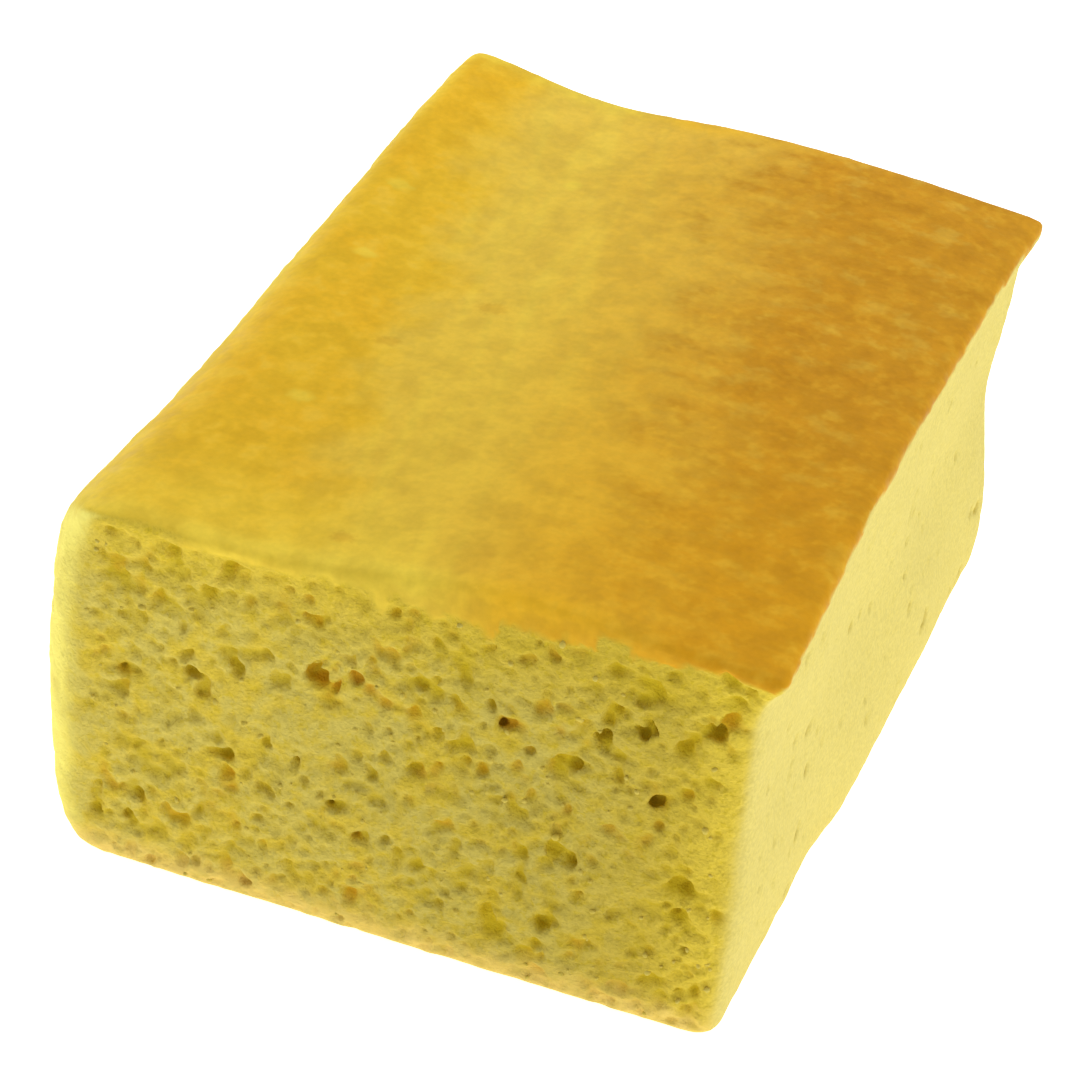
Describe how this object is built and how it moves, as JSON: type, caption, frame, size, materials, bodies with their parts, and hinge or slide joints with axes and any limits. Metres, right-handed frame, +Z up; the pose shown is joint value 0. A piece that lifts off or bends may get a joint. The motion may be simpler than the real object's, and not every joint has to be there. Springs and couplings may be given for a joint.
{
  "type": "cornbread square",
  "caption": "Thick rectangular piece of golden cornbread with a browned smooth top, a rounded pan side and soft crumbly cut faces.",
  "frame": {"origin": "middle of the base, at the bottom of the bounding box", "axes": "+Z up, +Y along the long side of the piece, -X towards the side that baked against the pan, -Y towards the front cut"},
  "size_m": [0.0642, 0.0844, 0.0419],
  "materials": {
    "crumb": "baked cornbread: open yellow crumb on the cuts, golden brown satin skin on top, deeper gold at the base",
    "skin": "thin baked skin, smooth and satin, golden yellow to light brown"
  },
  "bodies": {
    "root": {"cornbread": "crumb"}
  },
  "joints": []
}
